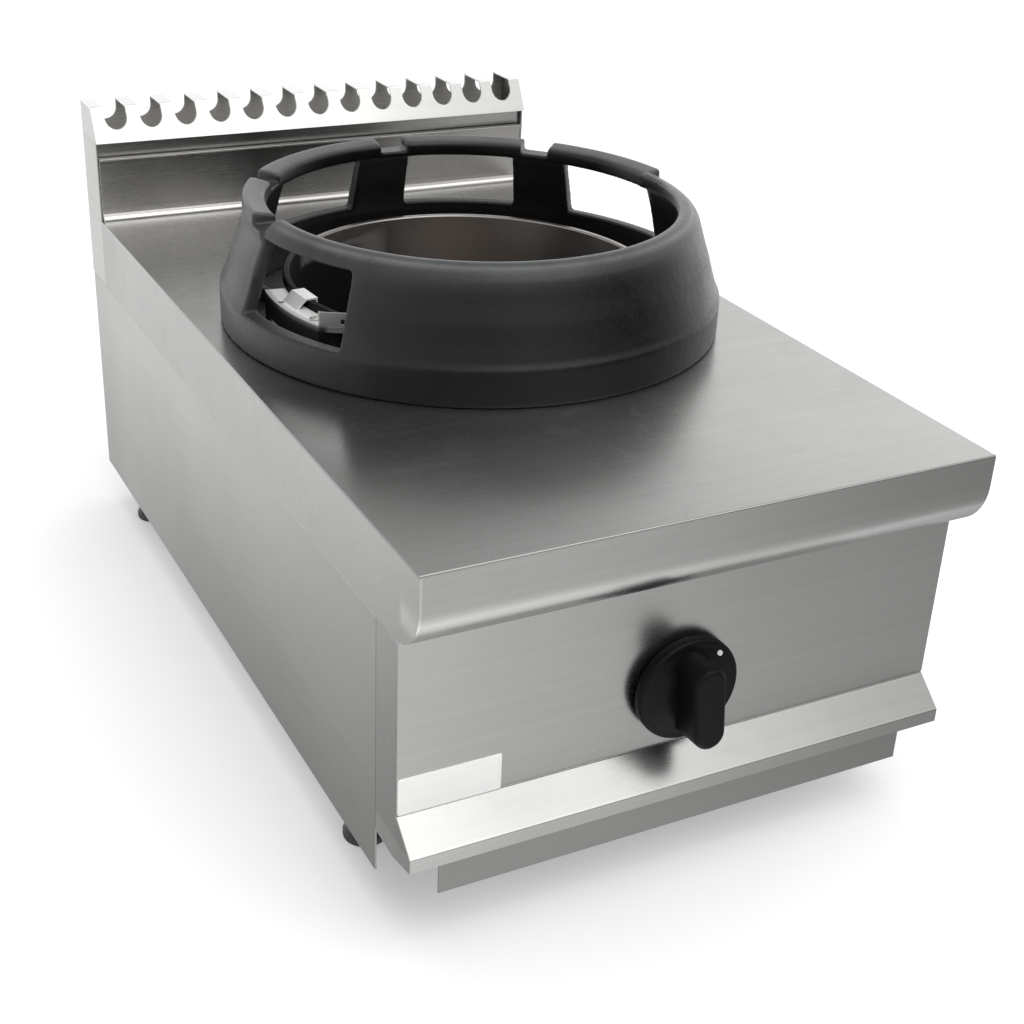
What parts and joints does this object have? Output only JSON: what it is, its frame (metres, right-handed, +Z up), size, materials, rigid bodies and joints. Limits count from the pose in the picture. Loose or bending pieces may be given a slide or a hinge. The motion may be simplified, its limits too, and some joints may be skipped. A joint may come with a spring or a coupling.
{
  "type": "counter-top gas wok range",
  "caption": "Counter-top gas wok range: brushed steel casing with a coved worktop, lift-off cast ring over a deep burner bowl, raised rear flue, skirted control knob and pull-out tray.",
  "frame": {"origin": "middle of the footprint, on the surface that the feet stand on", "axes": "+Z up, +Y to the back, +X to the right as seen by the cook in front"},
  "size_m": [0.4, 0.7125, 0.3736],
  "materials": {
    "worktop": "brushed stainless, semi-gloss",
    "splashback": "brushed stainless, semi-gloss",
    "burner_collar": "brushed stainless, semi-gloss",
    "side_panel_left": "brushed stainless, semi-gloss",
    "side_panel_right": "brushed stainless, semi-gloss",
    "base_pan": "mill finish stainless",
    "rear_panel": "mill finish stainless",
    "casing_screws": "plated pan-head screws",
    "control_panel": "brushed stainless, semi-gloss",
    "badge_plate": "blank satin plate",
    "flue_casing": "brushed stainless, semi-gloss",
    "flue_crown": "bright brushed stainless",
    "flue_baffle": "heat-stained stainless",
    "wok_ring": "satin black enamelled casting",
    "spill_bowl": "spun stainless, slightly stained",
    "burner_support": "mill finish stainless",
    "burner_body": "bare casting",
    "burner_head": "black enamelled casting",
    "burner_cap": "turned brass, heat-stained",
    "burner_bolts": "plated bolts",
    "air_shutter": "plated sleeve",
    "injector": "turned brass",
    "injector_holder": "forged brass",
    "tap_bracket": "mill finish stainless",
    "gas_tap": "forged brass",
    "tap_spindle": "turned brass",
    "tap_push_rod": "turned brass",
    "spindle_gasket": "black silicone",
    "knob": "moulded black plastic, satin",
    "manifold_pipe": "galvanised tube",
    "gas_inlet": "turned brass union",
    "burner_feed_pipe": "plain aluminium tube",
    "pipe_nuts": "turned brass",
    "pilot_bracket": "bright folded strip",
    "pilot_burner": "turned brass",
    "pilot_tube": "plain aluminium tube",
    "thermocouple": "copper lead with steel tip",
    "drip_tray": "brushed stainless, semi-gloss",
    "tray_runners": "mill finish stainless",
    "foot_front_left": "black moulded foot",
    "foot_front_right": "black moulded foot",
    "foot_rear_left": "black moulded foot",
    "foot_rear_right": "black moulded foot",
    "foot_nuts": "plated weld nuts"
  },
  "bodies": {
    "casing": {"worktop": "worktop", "splashback": "splashback", "burner_collar": "burner_collar", "side_panel_left": "side_panel_left", "side_panel_right": "side_panel_right", "base_pan": "base_pan", "rear_panel": "rear_panel", "casing_screws": "casing_screws", "control_panel": "control_panel", "badge_plate": "badge_plate", "flue_casing": "flue_casing", "flue_crown": "flue_crown", "flue_baffle": "flue_baffle", "spill_bowl": "spill_bowl", "burner_support": "burner_support", "burner_body": "burner_body", "burner_bolts": "burner_bolts", "injector": "injector", "injector_holder": "injector_holder", "tap_bracket": "tap_bracket", "gas_tap": "gas_tap", "spindle_gasket": "spindle_gasket", "manifold_pipe": "manifold_pipe", "gas_inlet": "gas_inlet", "burner_feed_pipe": "burner_feed_pipe", "pipe_nuts": "pipe_nuts", "pilot_bracket": "pilot_bracket", "pilot_burner": "pilot_burner", "pilot_tube": "pilot_tube", "thermocouple": "thermocouple", "tray_runners": "tray_runners", "foot_nuts": "foot_nuts"},
    "push_carriage": {"tap_push_rod": "tap_push_rod"},
    "knob": {"knob": "knob", "tap_spindle": "tap_spindle"},
    "wok_ring": {"wok_ring": "wok_ring"},
    "burner_head": {"burner_head": "burner_head"},
    "burner_cap": {"burner_cap": "burner_cap"},
    "drip_tray": {"drip_tray": "drip_tray"},
    "air_shutter": {"air_shutter": "air_shutter"},
    "foot_front_left": {"foot_front_left": "foot_front_left"},
    "foot_front_right": {"foot_front_right": "foot_front_right"},
    "foot_rear_left": {"foot_rear_left": "foot_rear_left"},
    "foot_rear_right": {"foot_rear_right": "foot_rear_right"}
  },
  "joints": [
    {"name": "knob_push", "type": "slide", "parent": "casing", "child": "push_carriage", "axis": [0, 1, 0], "range_m": [0, 0.003], "stiffness_N_per_m": 1500, "springref_m": -0.002},
    {"name": "knob_turn", "type": "hinge", "parent": "push_carriage", "child": "knob", "pos_m": [-0.004, -0.34, 0.145], "axis": [0, -1, 0], "range_deg": [0, 180]},
    {"name": "ring_lift", "type": "slide", "parent": "casing", "child": "wok_ring", "axis": [0, 0, 1], "range_m": [0, 0.15]},
    {"name": "burner_head_lift", "type": "slide", "parent": "casing", "child": "burner_head", "axis": [0, 0, 1], "range_m": [0, 0.15]},
    {"name": "burner_cap_lift", "type": "slide", "parent": "burner_head", "child": "burner_cap", "axis": [0, 0, 1], "range_m": [0, 0.12]},
    {"name": "tray_pull", "type": "slide", "parent": "casing", "child": "drip_tray", "axis": [0, -1, 0], "range_m": [0, 0.3]},
    {"name": "air_shutter_slide", "type": "slide", "parent": "casing", "child": "air_shutter", "axis": [0, -1, 0], "range_m": [0, 0.012]},
    {"name": "foot_front_left_level", "type": "slide", "parent": "casing", "child": "foot_front_left", "axis": [0, 0, -1], "range_m": [0, 0.012]},
    {"name": "foot_front_right_level", "type": "slide", "parent": "casing", "child": "foot_front_right", "axis": [0, 0, -1], "range_m": [0, 0.012]},
    {"name": "foot_rear_left_level", "type": "slide", "parent": "casing", "child": "foot_rear_left", "axis": [0, 0, -1], "range_m": [0, 0.012]},
    {"name": "foot_rear_right_level", "type": "slide", "parent": "casing", "child": "foot_rear_right", "axis": [0, 0, -1], "range_m": [0, 0.012]}
  ]
}
